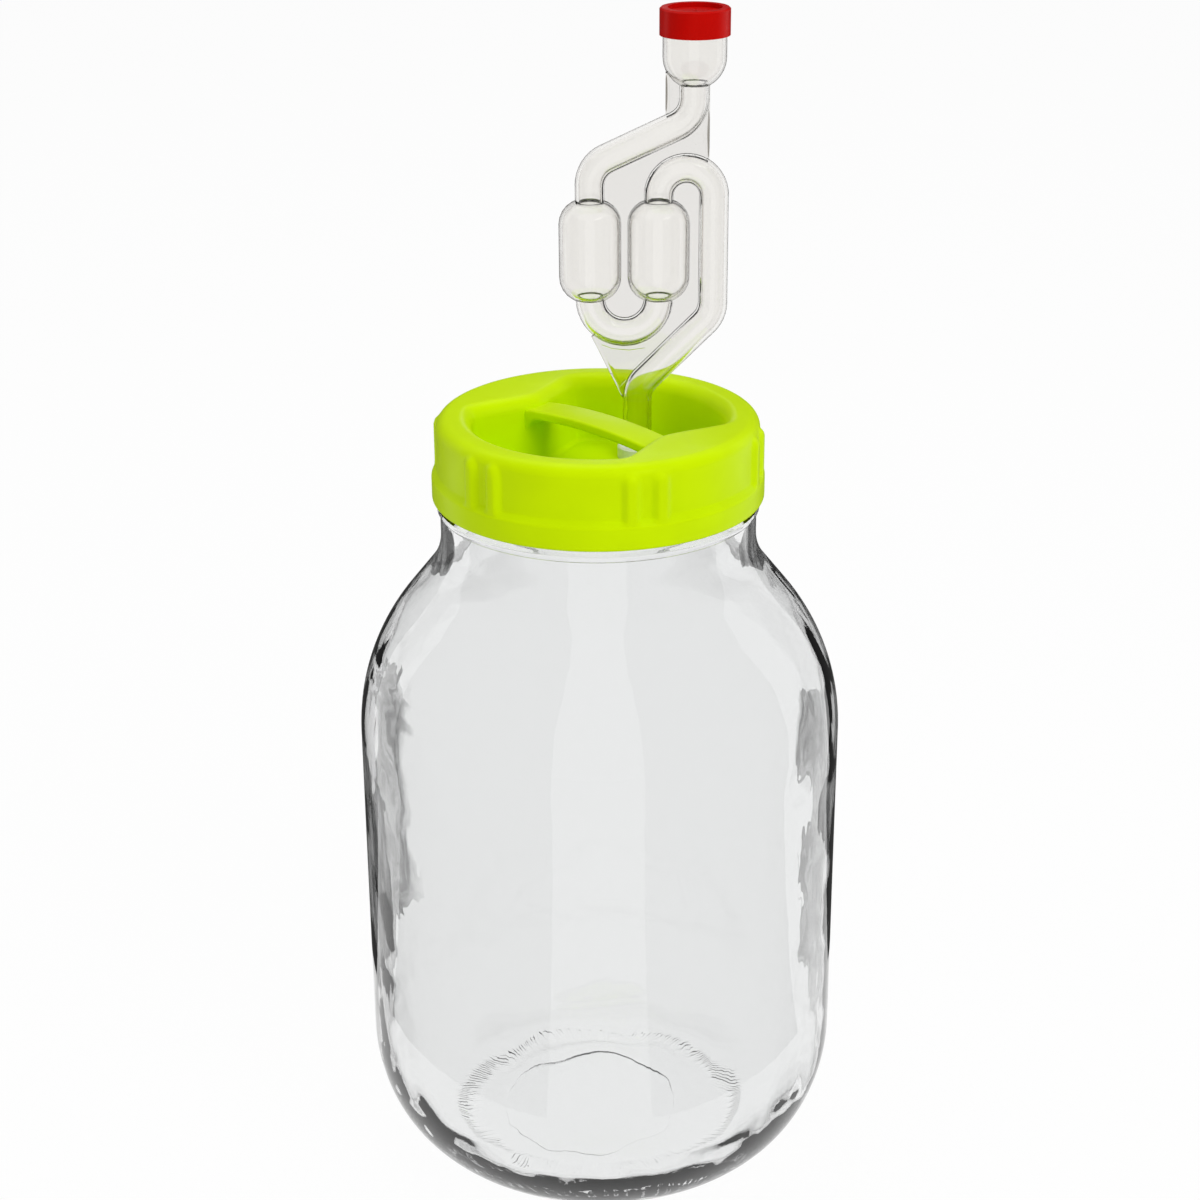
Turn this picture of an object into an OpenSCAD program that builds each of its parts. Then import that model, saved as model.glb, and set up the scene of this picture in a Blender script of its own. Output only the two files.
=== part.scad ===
// Fermentation jar with a screw lid and a twin-bulb airlock.
// The origin is the centre of the jar's base, +Z is up, and -Y is the front. Sizes are in millimetres.

/* [Jar] */
// Outside diameter of the glass body
body_d = 162.4; // [140:0.2:200]
// Height of the sealing rim above the table
jar_h = 264.6; // [240:0.2:340]
// Thickness of the glass wall
glass_t = 3.6; // [2.5:0.1:5]
// Thickness of the glass floor
floor_t = 6; // [4:0.5:9]

/* [Jar base] */
// Outside diameter of the flat ring that the jar stands on
foot_d = 96; // [80:1:110]
// Width of the flat ring that the jar stands on
foot_w = 5; // [3:0.5:8]
// Height of the rounded heel
heel_h = 44; // [25:1:60]
// Rise of the underside in the middle of the base
push_up = 4; // [1:0.5:8]

/* [Shoulder and neck] */
// Radius of the shoulder's arc, seen from the side
shoulder_r = 73; // [50:1:85]
// Slope at which the shoulder's arc ends, in degrees
shoulder_a = 38.5; // [30:0.5:50]
// Radius of the hollow where the shoulder meets the neck
neck_fillet = 22; // [6:1:30]
// Height of the straight neck under its bead
neck_h = 9.1; // [4:0.1:20]
// Radius of the bead round the neck
bead_r = 1; // [0.5:0.1:2]
// Height of the bead's middle below the lid's lower edge
bead_gap = 3.4; // [3.4:0.1:8]
// Inside diameter of the mouth
mouth_d = 89; // [84:0.5:108]
// Thickness of the glass finish that the lid goes over
finish_t = 4.5; // [3.5:0.1:6]
// Step out from the finish to the neck
neck_step = 3; // [1.5:0.1:5]

/* [Lid] */
// Height of the thick band at the lid's lower edge
lip_h = 7.6; // [5:0.2:10]
// Step out from the skirt to that band
lip_w = 1.8; // [1:0.1:3]
// Height of the bevel from the band up to the skirt
lip_bevel = 2; // [1:0.5:3]
// Height of the lid
lid_h = 27; // [24:0.5:32]
// Thickness of the lid's skirt, top and floor
lid_t = 2; // [1.5:0.1:2.4]
// Radius of the lid's rounded top edge
top_fillet = 4; // [2:0.5:5]

/* [Lid ribs] */
// Number of rib pairs round the skirt
rib_pairs = 6; // [3:1:10]
// Angle between the two ribs of a pair
rib_gap_a = 10.5; // [9:0.5:16]
// Direction of the first pair, counted from the front
rib_first_a = 17; // [-60:1:60]
// Width of one rib
rib_w = 4.6; // [3:0.1:5]
// Height of the ribs' tops above the lid's lower edge
rib_top = 23.6; // [18:0.2:24]

/* [Lid well] */
// Depth of the well
well_depth = 23; // [16:0.5:23.5]
// Amount by which the well's wall leans in on each side
well_draft = 0.8; // [0:0.1:2]
// Radius of the well's rounded rim
well_fillet = 3; // [1:0.5:3.5]

/* [Handle] */
// Width of the handle across the well
strap_w = 12; // [8:0.5:18]
// Thickness of the handle
strap_t = 3.4; // [2.5:0.1:5]
// Depth of the handle's middle below the lid's top
strap_sink = 1.8; // [0:0.2:5]
// Rise of the handle's middle above its ends
strap_arch = 2; // [0:0.2:4]
// Length of each root, from the well's wall to the handle's straight part
root_len = 13; // [10:0.5:16]
// Half angle over which each root spreads along the well's wall
root_a = 35; // [30:1:42]
// Radius of the rounded upper edges of the roots
root_round = 3; // [1:0.5:4]
// Direction of the handle, counted from +X
strap_a = -45; // [-90:5:90]
// Radius of the corners of the finger gap under the handle
gap_corner = 6; // [2:0.5:8]

/* [Airlock place] */
// Place of the stem to the right of the jar's middle
stem_x = 13.3; // [8:0.1:16]
// Place of the stem behind the jar's middle
stem_y = 24; // [20:0.1:26]

/* [Grommet] */
// Thickness of the rubber between the stem and the lid
grommet_t = 0.9; // [0.7:0.05:1.6]
// Width of the grommet's collars round the hole in the well's floor
collar_w = 0.95; // [0.8:0.05:2]
// Height of the upper collar above the well's floor
collar_h = 4.2; // [2:0.1:6]
// Height of the grommet's lower collar under the floor
under_h = 2.6; // [1.5:0.1:4]

/* [Airlock] */
// Outside diameter of the airlock's tube
tube_d = 9.6; // [9:0.1:10.4]
// Thickness of the airlock's walls
tube_t = 1.2; // [0.9:0.05:1.5]
// Outside diameter of each bulb
bulb_d = 20.4; // [16:0.2:21.4]
// Height of each bulb
bulb_h = 33.6; // [26:0.2:40]
// Radius of the bulbs' rounded ends
bulb_end_r = 8; // [5:0.5:8.4]
// Outside diameter of the cup at the top
cup_d = 20.4; // [18:0.2:24]
// Height of the cup
cup_h = 23; // [18:0.5:30]
// Thickness of the flat web between the tubes
web_t = 1.4; // [1:0.1:2]
// Length of stem under the well's floor
stem_under = 9; // [5:0.5:20]

/* [Airlock layout] */
// Height of the stem's bend above the well's floor
stem_bend_z = 24.6; // [24:0.2:34]
// Distance from the stem to the outer tube
outer_tube_x = 24.7; // [22:0.1:30]
// Gap between the outer tube and the inner bulb
tube_gap = 2.8; // [1:0.1:5]
// Gap between the two bulbs
bulb_gap = 1.9; // [0.8:0.1:6]
// Distance from the stem to the cup
cup_x = 18.1; // [10:0.1:22]
// Height from the stem's bend to the bulbs' lower ends
bulbs_z = 29.4; // [28:0.2:40]
// Height from the bulbs' upper ends to the bend above the outer bulb
inlet_bend_z = 10.8; // [9:0.2:16]
// Height from the inlet's lower bend to its upper bend
inlet_rise = 15.5; // [10:0.5:24]
// Height from the inlet's upper bend to the bottom of the cup
cup_rise = 9.2; // [8:0.2:16]
// Radius of the middle line in the tube's bends
bend_r = 9.5; // [8:0.5:11]
// Distance from the stem's bend down to the web's lower tip
web_tip = 8.8; // [4:0.2:12]

/* [Cap] */
// Height of the airlock's cap
cap_h = 8.6; // [7:0.2:12]
// Thickness of the cap's wall
cap_t = 1; // [0.8:0.1:1.6]
// Thickness of the cap's top plate
cap_plate_t = 1.3; // [1:0.1:2]
// Depth of the round recess in the cap's top
cap_recess = 1.3; // [0.5:0.1:2]
// Width of the rim round that recess
cap_rim_w = 2.6; // [1.6:0.1:4]
// Diameter of the vent hole in the cap
vent_d = 1.2; // [0.8:0.1:2]

/* [Clearances] */
// Thickness of the sealing ring between the rim and the lid
seal_t = 1.4; // [1:0.1:2]
// Room on each side of the sealing ring, inside the lid
seal_room = 0.4; // [0.3:0.1:0.8]
// Radial room between the glass finish and the lid's skirt, where the thread is
thread_room = 1.7; // [1.2:0.1:2.5]
// Radial room between the lid's well and the jar's mouth
well_room = 1.5; // [0.8:0.1:3]
// Radial room between a turning or sliding pair, such as the stem in the grommet
fit_room = 0.05; // [0.02:0.01:0.1]

/* [Hidden] */
$fn = 96;

// Number of steps in the arcs of an outline
arc_n = 12;
small_arc_n = 6;

// Jar
lid_z = jar_h + seal_t + lid_t - lid_h;
body_r = body_d / 2;
mouth_r = mouth_d / 2;
finish_r = mouth_r + finish_t;
neck_r = finish_r + neck_step;
foot_r = foot_d / 2;
bead_z = lid_z - bead_gap;
rim_fillet = 1.4;
finish_ramp = 2.5;
slope_r1 = body_r - shoulder_r + shoulder_r * cos(shoulder_a);
slope_r2 = neck_r + neck_fillet * (1 - cos(shoulder_a));
shoulder_h = (shoulder_r + neck_fillet) * sin(shoulder_a) + (slope_r1 - slope_r2) / tan(shoulder_a);
shoulder_z = bead_z - neck_h - shoulder_h;

// Lid
skirt_in_r = finish_r + thread_room;
skirt_r = skirt_in_r + lid_t;
lip_r = skirt_r + lip_w;
lip_round = 0.8;
well_r = mouth_r - well_room - lid_t;
well_floor_z = lid_h - well_depth;
rib_sink = 0.2;
grommet_hole_d = tube_d + 2 * grommet_t;
collar_d = grommet_hole_d + 2 * collar_w;

// Handle, whose bar runs into a wedge-shaped root at each end
strap_half = well_r - root_len;
strap_lap = 3;
strap_end = strap_half + strap_lap;
strap_top = lid_h - strap_sink;
root_low = well_floor_z - lid_t / 2;
root_top = lid_h - 0.1;
core_low = well_floor_z - lid_t - 1;
core_top = root_top - 2 * lid_t;
root_tip = [strap_half, strap_w / 2 + 1];
root_corner = [well_r * cos(root_a), well_r * sin(root_a)];
root_lean = atan2(root_corner.x - root_tip.x, root_corner.y - root_tip.y);

// Airlock, with its heights counted from the table and its distances from the stem
floor_top_z = lid_z + well_floor_z;
tube_r = tube_d / 2;
bore_r = tube_r - tube_t;
bend_swell = 0.04;
bend_lap = 0.4;
bulb_r = bulb_d / 2;
cup_r = cup_d / 2;
inner_bulb_x = outer_tube_x - tube_r - tube_gap - bulb_r;
outer_bulb_x = inner_bulb_x - bulb_d - bulb_gap;
stem_low = floor_top_z - lid_t - stem_under;
stem_corner = [0, floor_top_z + stem_bend_z];
outer_corner = [outer_tube_x, stem_corner.y + outer_tube_x];
bulbs_low = floor_top_z + stem_bend_z + bulbs_z;
bulbs_mid = bulbs_low + bulb_h / 2;
bulbs_high = bulbs_low + bulb_h;
arch_x = (inner_bulb_x + outer_tube_x) / 2;
arch_r = (outer_tube_x - inner_bulb_x) / 2;
arch_z = bulbs_high + 1.2;
u_bend_x = (inner_bulb_x + outer_bulb_x) / 2;
u_bend_r = (inner_bulb_x - outer_bulb_x) / 2;
u_bend_z = bulbs_low + 0.6;
inlet_low = [outer_bulb_x, bulbs_high + inlet_bend_z];
inlet_high = [cup_x, inlet_low.y + inlet_rise];
cup_low = inlet_high.y + cup_rise;
cup_top = cup_low + cup_h;

// Cap
cap_in_r = cup_r + fit_room;
cap_r = cap_in_r + cap_t;
cap_top_z = cup_top + cap_plate_t + cap_recess;

// Points of an arc about [cx, cy], from angle a0 to angle a1
function arc(cx, cy, r, a0, a1, n) =
    [for (i = [0:n]) let (a = a0 + (a1 - a0) * i / n) [cx + r * cos(a), cy + r * sin(a)]];

// Points of a heel, a quarter of an ellipse from the floor at radius r0 to the wall at radius r1
function heel(r0, r1, z0, z1) =
    [for (i = [0:arc_n]) let (a = 90 * i / arc_n)
        [r0 + (r1 - r0) * sin(a), z0 + (z1 - z0) * (1 - cos(a))]];

// Points of a shallow dome, from the middle out to radius r
function dome(r, z, rise) =
    [for (i = [0:small_arc_n]) let (k = i / small_arc_n) [r * k, z + rise * (1 - k * k)]];

// Points of a shoulder, from the wall in to the neck: an arc, a straight slope and a hollow
function shoulder(arc_r, to_r, fillet) =
    let (
        mid_r = body_r - shoulder_r,
        r1 = mid_r + arc_r * cos(shoulder_a),
        z1 = shoulder_z + arc_r * sin(shoulder_a),
        r2 = to_r + fillet * (1 - cos(shoulder_a)),
        z2 = z1 + (r1 - r2) / tan(shoulder_a)
    )
    concat(
        arc(mid_r, shoulder_z, arc_r, 0, shoulder_a, arc_n),
        arc(to_r + fillet, z2 + fillet * sin(shoulder_a), fillet,
            180 + shoulder_a, 180, small_arc_n)
    );

function reversed(points) = [for (i = [len(points) - 1:-1:0]) points[i]];

// Outside of the jar, from the middle of the base up to the rim
jar_outside = concat(
    dome(foot_r - foot_w, 0, push_up),
    heel(foot_r, body_r, 0, heel_h),
    shoulder(shoulder_r, neck_r, neck_fillet),
    arc(neck_r, bead_z, bead_r, -90, 90, small_arc_n),
    [[finish_r, bead_z + bead_r + finish_ramp]],
    arc(finish_r - rim_fillet, jar_h - rim_fillet, rim_fillet, 0, 90, small_arc_n)
);

// Inside of the jar, from the middle of the floor up to the rim
jar_inside = concat(
    dome(foot_r - foot_w, floor_t, push_up),
    heel(foot_r - foot_w / 2, body_r - glass_t, floor_t, heel_h),
    shoulder(shoulder_r - glass_t, mouth_r, neck_fillet + glass_t),
    arc(mouth_r + rim_fillet, jar_h - rim_fillet, rim_fillet, 180, 90, small_arc_n)
);

// Section of the lid, counted from its lower edge
lid_section = concat(
    [[skirt_in_r, 0]],
    arc(lip_r - lip_round, lip_round, lip_round, -90, 0, 3),
    [[lip_r, lip_h], [skirt_r, lip_h + lip_bevel]],
    arc(skirt_r - top_fillet, lid_h - top_fillet, top_fillet, 0, 90, small_arc_n),
    arc(well_r + well_fillet, lid_h - well_fillet, well_fillet, 90, 180, small_arc_n),
    [
        [well_r - well_draft, well_floor_z],
        [0, well_floor_z],
        [0, well_floor_z - lid_t],
        [well_r - well_draft + lid_t, well_floor_z - lid_t],
        [well_r + lid_t, lid_h - lid_t],
        [skirt_in_r, lid_h - lid_t]
    ]
);

// Height of the handle's upper face at distance u from its middle, counted from the lid's lower edge
function strap_z(u) = strap_top - strap_arch * pow(u / strap_half, 2);

// Side view of the handle's bar, an arch that thickens towards its ends
strap_profile = concat(
    [for (i = [-arc_n:arc_n]) let (u = strap_end * i / arc_n) [u, strap_z(u)]],
    [[strap_end, strap_z(strap_half) - strap_t - gap_corner]],
    arc(strap_half - gap_corner, strap_z(strap_half) - strap_t - gap_corner, gap_corner,
        0, 90, small_arc_n),
    [for (i = [3:-1:-3]) let (u = (strap_half - gap_corner) * i / 4) [u, strap_z(u) - strap_t]],
    arc(gap_corner - strap_half, strap_z(strap_half) - strap_t - gap_corner, gap_corner,
        90, 180, small_arc_n),
    [[-strap_end, strap_z(strap_half) - strap_t - gap_corner]]
);

// Side view across one flank of a root, with its rounded upper edge
root_edge = concat(
    [[0, root_low]],
    arc(root_round, root_top - root_round, root_round, 180, 90, small_arc_n),
    [[2 * well_r, root_top], [2 * well_r, root_low]]
);

// Section of the space that the roots may fill, out to the middle of the well's wall
root_room = [
    [0, root_low - 1],
    [well_r - well_draft + lid_t / 2, root_low - 1],
    [well_r + lid_t / 2, lid_h - lid_t],
    [well_r + well_fillet, lid_h - lid_t / 2],
    [well_r + well_fillet, lid_h + 1],
    [0, lid_h + 1]
];

module jar() {
    color([0.82, 0.88, 0.87], 0.4)
    rotate_extrude()
    polygon(concat(jar_outside, reversed(jar_inside)));
}

// Flat ring that seals the lid on the jar's rim
module lid_seal() {
    color([0.93, 0.93, 0.9])
    translate([0, 0, jar_h])
    rotate_extrude()
    translate([well_r + lid_t + seal_room, 0])
    square([skirt_in_r - well_r - lid_t - 2 * seal_room, seal_t]);
}

// One rib, a round bar with a round top, along the skirt
module rib() {
    r = rib_w / 2;
    translate([lip_r - rib_sink - r, 0, lip_h / 2]) {
        cylinder(r = r, h = rib_top - r - lip_h / 2);
        translate([0, 0, rib_top - r - lip_h / 2]) sphere(r = r);
    }
}

module ribs() {
    for (pair = [0:rib_pairs - 1], side = [-1, 1])
        rotate([0, 0, rib_first_a - 90 + 360 / rib_pairs * pair + side * rib_gap_a / 2])
        rib();
}

// Plan of the hollow that is cored out of one root from below
module root_core_plan() {
    intersection() {
        polygon([
            [strap_half + lid_t, lid_t - strap_w / 2],
            [root_corner.x + lid_t / 2, 2 * lid_t - root_corner.y],
            [well_r, -root_corner.y / 2],
            [well_r, root_corner.y / 2],
            [root_corner.x + lid_t / 2, root_corner.y - 2 * lid_t],
            [strap_half + lid_t, strap_w / 2 - lid_t]
        ]);
        circle(r = well_r - well_draft - lid_t / 2);
    }
}

// One root, a wedge between two flanks that fills the well's end under the handle
module root() {
    intersection() {
        for_flank(1) flank();
        for_flank(-1) flank();
        rotate_extrude() polygon(root_room);
    }
}

// Turns one flank to its place on either side of the root
module for_flank(side) {
    translate([root_tip.x, side * root_tip.y, 0])
    rotate([0, 0, -side * root_lean])
    children();
}

module flank() {
    rotate([90, 0, 0])
    linear_extrude(height = 4 * well_r, center = true)
    polygon(root_edge);
}

module handle() {
    rotate([0, 0, strap_a]) {
        rotate([90, 0, 0])
        linear_extrude(height = strap_w, center = true)
        polygon(strap_profile);

        for (side = [0, 180]) rotate([0, 0, side]) root();
    }
}

// The hollows under the handle's roots
module root_cores() {
    for (side = [0, 180])
        rotate([0, 0, strap_a + side])
        translate([0, 0, core_low])
        linear_extrude(height = core_top - core_low)
        root_core_plan();
}

module lid() {
    color([0.72, 0.9, 0.02])
    translate([0, 0, lid_z])
    difference() {
        union() {
            rotate_extrude() polygon(lid_section);
            ribs();
            handle();
        }
        root_cores();
        translate([stem_x, stem_y, well_floor_z - lid_t - 1])
        cylinder(d = grommet_hole_d, h = lid_t + 2);
    }
}

// Rubber grommet, with a collar above and below the well's floor
module grommet() {
    waist_r = grommet_hole_d / 2 - fit_room;
    top = floor_top_z + collar_h;
    under = floor_top_z - lid_t;
    in_r = tube_r + fit_room;
    edge = 0.6;
    color([0.9, 0.92, 0.84])
    translate([stem_x, stem_y, 0])
    rotate_extrude()
    polygon([
        [in_r, top],
        [collar_d / 2 - edge, top],
        [collar_d / 2, top - edge],
        [collar_d / 2, floor_top_z],
        [waist_r, floor_top_z],
        [waist_r, under],
        [collar_d / 2 - edge, under],
        [waist_r, under - under_h],
        [in_r, under - under_h]
    ]);
}

// A straight tube in the airlock's plane, from point a to point b
module run(a, b, r) {
    translate([a.x, a.y, 0])
    rotate([0, 0, atan2(b.y - a.y, b.x - a.x)])
    rotate([0, 90, 0])
    cylinder(r = r, h = norm(b - a));
}

// A bent tube in the airlock's plane, about point c, from angle a0 through angle turn
module bend(c, mid_r, a0, turn, r) {
    translate([c.x, c.y, 0])
    rotate([0, 0, a0])
    rotate_extrude(angle = turn)
    translate([mid_r, 0])
    circle(r = r + bend_swell);
}

// A tube from point a through the corners b and c to point d, where cd runs the same way as ab
module two_bend_tube(a, b, c, d, mid_r, r) {
    ab = (b - a) / norm(b - a);
    bc = (c - b) / norm(c - b);
    turn = acos(ab * bc);
    side = sign(ab.x * bc.y - ab.y * bc.x);
    inward = [-ab.y, ab.x] * side;
    heading = atan2(ab.y, ab.x);
    reach = mid_r * tan(turn / 2);
    straight = reach - bend_lap;
    run(a, b - ab * straight, r);
    bend(b - ab * reach + inward * mid_r, mid_r, side > 0 ? heading - 90 : heading + 90 - turn, turn, r);
    run(b + bc * straight, c - bc * straight, r);
    bend(c + ab * reach - inward * mid_r, mid_r, side > 0 ? heading + 90 : heading - 90 - turn, turn, r);
    run(c + ab * straight, d, r);
}

// The tubes of the airlock, grown or shrunk to radius r, with the stem's end at height stem_end
module airlock_tubes(r, stem_end) {
    two_bend_tube([cup_x, cup_low + tube_r], inlet_high, inlet_low,
        [outer_bulb_x, bulbs_high - bulb_end_r], bend_r, r);
    two_bend_tube([outer_tube_x, arch_z + bend_lap], outer_corner, stem_corner, [0, stem_end], bend_r, r);
    bend([arch_x, arch_z], arch_r, 0, 180, r);
    bend([u_bend_x, u_bend_z], u_bend_r, 180, 180, r);
    run([inner_bulb_x, bulbs_high - bulb_end_r], [inner_bulb_x, arch_z + bend_lap], r);
    for (x = [inner_bulb_x, outer_bulb_x])
        run([x, u_bend_z - bend_lap], [x, bulbs_low + bulb_end_r], r);
}

// A bulb with round ends, drawn in by inset
module bulb(x, inset) {
    r = bulb_r - inset;
    h = bulb_h / 2 - inset;
    end_r = bulb_end_r - inset;
    translate([x, bulbs_mid, 0])
    rotate([-90, 0, 0])
    rotate_extrude()
    polygon(concat(
        [[0, -h]],
        arc(r - end_r, -h + end_r, end_r, -90, 0, small_arc_n),
        arc(r - end_r, h - end_r, end_r, 0, 90, small_arc_n),
        [[0, h]]
    ));
}

// The cup's outline with a round bottom, drawn in by inset, up to height top
module cup(inset, top) {
    translate([cup_x, cup_low, 0])
    rotate([-90, 0, 0])
    rotate_extrude()
    polygon(concat(arc(0, cup_r, cup_r - inset, -90, 0, arc_n), [[cup_r - inset, top], [0, top]]));
}

// The flat web in the airlock's middle plane
module web() {
    linear_extrude(height = web_t, center = true)
    polygon([
        [cup_x - cup_r + 1, cup_low + cup_r / 2],
        [cup_x - cup_r + 1, inlet_high.y],
        inlet_low,
        [outer_bulb_x, bulbs_low - tube_d],
        [-tube_r / 2, stem_corner.y - web_tip],
        stem_corner,
        outer_corner,
        [outer_tube_x, arch_z],
        [outer_tube_x - tube_r / 3, arch_z + arch_r],
        [outer_tube_x - tube_r / 3, cup_low + cup_r / 2]
    ]);
}

module airlock() {
    color([0.86, 0.88, 0.86], 0.5)
    translate([stem_x, stem_y, 0])
    rotate([90, 0, 0])
    difference() {
        union() {
            airlock_tubes(tube_r, stem_low);
            bulb(inner_bulb_x, 0);
            bulb(outer_bulb_x, 0);
            cup(0, cup_h);
            web();
        }
        airlock_tubes(bore_r, stem_low - 1);
        bulb(inner_bulb_x, tube_t);
        bulb(outer_bulb_x, tube_t);
        cup(tube_t, cup_h + 1);
    }
}

module airlock_cap() {
    edge = 0.5;
    bottom = cap_top_z - cap_h;
    color([0.85, 0.05, 0.03])
    translate([stem_x + cup_x, stem_y, 0])
    rotate_extrude()
    polygon([
        [vent_d / 2, cup_top],
        [cap_in_r, cup_top],
        [cap_in_r, bottom],
        [cap_r, bottom],
        [cap_r, cap_top_z - edge],
        [cap_r - edge, cap_top_z],
        [cap_r - cap_rim_w, cap_top_z],
        [cap_r - cap_rim_w, cup_top + cap_plate_t],
        [vent_d / 2, cup_top + cap_plate_t]
    ]);
}

jar();
lid_seal();
lid();
grommet();
airlock();
airlock_cap();
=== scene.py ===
import math

import bmesh
import bpy
from bpy.props import FloatProperty, FloatVectorProperty, IntProperty, PointerProperty
from bpy.types import Operator, Panel, PropertyGroup
from mathutils import Matrix, Vector, noise


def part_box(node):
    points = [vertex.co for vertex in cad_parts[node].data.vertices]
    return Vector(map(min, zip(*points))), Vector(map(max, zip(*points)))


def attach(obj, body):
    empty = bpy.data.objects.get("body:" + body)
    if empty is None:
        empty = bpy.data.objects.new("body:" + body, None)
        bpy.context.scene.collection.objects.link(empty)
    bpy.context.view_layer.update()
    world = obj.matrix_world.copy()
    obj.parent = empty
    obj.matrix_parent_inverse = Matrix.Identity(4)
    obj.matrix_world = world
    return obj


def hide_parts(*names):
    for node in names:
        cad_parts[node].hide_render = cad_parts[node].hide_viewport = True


bl_info = {
    "name": "Fermentation jar",
    "version": (1, 0, 0),
    "blender": (4, 5, 0),
    "location": "View3D > Sidebar > Jar",
    "description": "Builds a glass fermentation jar with a screw lid and a twin-bulb airlock",
    "category": "Add Mesh",
}

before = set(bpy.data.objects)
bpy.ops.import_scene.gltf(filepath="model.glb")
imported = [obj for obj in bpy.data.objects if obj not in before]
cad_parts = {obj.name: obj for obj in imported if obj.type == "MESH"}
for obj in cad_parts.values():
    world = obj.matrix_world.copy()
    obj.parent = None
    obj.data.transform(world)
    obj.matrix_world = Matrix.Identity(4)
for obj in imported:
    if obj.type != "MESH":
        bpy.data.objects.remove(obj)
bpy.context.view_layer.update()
MM = 0.001
TURN = 2 * math.pi
SEAM_GAP = 1e-6  # points of a spun piece nearer than this become one
CAD_GAP = 2e-6  # the same for a copy of a CAD node

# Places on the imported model, in metres
JAR_LOW, JAR_HIGH = (Vector(c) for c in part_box("jar"))
LID_LOW, LID_HIGH = (Vector(c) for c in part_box("lid"))
SEAL_LOW, SEAL_HIGH = (Vector(c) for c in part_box("lid_seal"))
GROMMET_LOW, GROMMET_HIGH = (Vector(c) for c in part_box("grommet"))
CAP_LOW, CAP_HIGH = (Vector(c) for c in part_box("airlock_cap"))


# Sizes and colours that a user would change

class JarSettings(PropertyGroup):
    """Sizes and colours of the glass jar"""
    outer_wave: FloatProperty(
        name="Outer wave", description="Height of the soft waves on the glass outside",
        default=0.12 * MM, unit="LENGTH")
    inner_wave: FloatProperty(
        name="Inner wave", description="Height of the soft waves on the glass inside",
        default=0.45 * MM, unit="LENGTH")
    thread_height: FloatProperty(
        name="Thread height", description="How far the thread stands out of the finish",
        default=0.8 * MM, unit="LENGTH")
    thread_pitch: FloatProperty(
        name="Thread pitch", description="Rise of the thread in one turn",
        default=5.2 * MM, unit="LENGTH")
    steps: IntProperty(name="Steps", description="Steps round the jar", default=288, min=32)
    tint: FloatVectorProperty(
        name="Glass tint", description="Colour of the glass",
        subtype="COLOR", default=(0.90, 0.905, 0.905))
    # The edge tint is painted shade: the dark rims that the glass shows edge-on are painted into
    # its colour.
    edge: FloatVectorProperty(
        name="Edge tint", description="Colour of the glass where it is seen edge-on",
        subtype="COLOR", default=(0.02, 0.02, 0.02))


class LidSettings(PropertyGroup):
    """Steps and colours of the screw lid"""
    colour: FloatVectorProperty(
        name="Lid colour", description="Colour of the lid's plastic",
        subtype="COLOR", default=(0.57, 0.80, 0.0))
    gloss: FloatVectorProperty(
        name="Lid highlights", description="Tint of the lid's soft highlights",
        subtype="COLOR", default=(0.75, 1.0, 0.12))
    steps: IntProperty(name="Steps", description="Steps round the lid", default=600, min=96)


class AirlockSettings(PropertyGroup):
    """Colours of the airlock, its cap and the rubber pieces"""
    tint: FloatVectorProperty(
        name="Airlock tint", description="Colour of the airlock's clear plastic",
        subtype="COLOR", default=(0.93, 0.92, 0.90))
    # The edge tint is painted shade: the dark rims that the clear plastic shows edge-on are
    # painted into its colour.
    edge: FloatVectorProperty(
        name="Airlock edge tint", description="Colour of that plastic seen edge-on",
        subtype="COLOR", default=(0.22, 0.20, 0.17))
    web: FloatVectorProperty(
        name="Web tint", description="Colour of the airlock's thin web",
        subtype="COLOR", default=(0.80, 0.785, 0.76))
    cap: FloatVectorProperty(
        name="Cap colour", description="Colour of the cap",
        subtype="COLOR", default=(0.50, 0.002, 0.001))
    rubber: FloatVectorProperty(
        name="Rubber colour", description="Colour of the grommet and the sealing ring",
        subtype="COLOR", default=(0.80, 0.81, 0.74))


class StageSettings(PropertyGroup):
    """Powers of the lamps and sizes of the screens"""
    key_power: FloatProperty(
        name="Key light", description="Power of the light at the front right",
        default=16, unit="POWER")
    fill_power: FloatProperty(
        name="Fill light", description="Power of the light at the left",
        default=4, unit="POWER")
    top_power: FloatProperty(
        name="Top light", description="Power of the light above",
        default=8, unit="POWER")
    sky: FloatProperty(
        name="Room light", description="Level of the light from all round", default=0.45)
    screen_r: FloatProperty(
        name="Screen distance", description="How far the dark screens stand from the jar",
        default=0.36, unit="LENGTH")
    screen_h: FloatProperty(
        name="Screen height", description="Height of the dark screens",
        default=0.6, unit="LENGTH")


# Tools for meshes

def start_clean():
    """Leaves edit mode and deselects everything."""
    if bpy.context.mode != "OBJECT":
        bpy.ops.object.mode_set(mode="OBJECT")
    bpy.ops.object.select_all(action="DESELECT")


def take(obj):
    """Selects this piece alone and makes it the active one."""
    start_clean()
    obj.select_set(True)
    bpy.context.view_layer.objects.active = obj


def settle():
    """Puts the selected piece's place, turn and scale into its mesh."""
    bpy.ops.object.transform_apply(location=True, rotation=True, scale=True)


def named(obj, name):
    """Names the piece and its mesh, lamp or camera."""
    obj.name = name
    obj.data.name = name
    return obj


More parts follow.
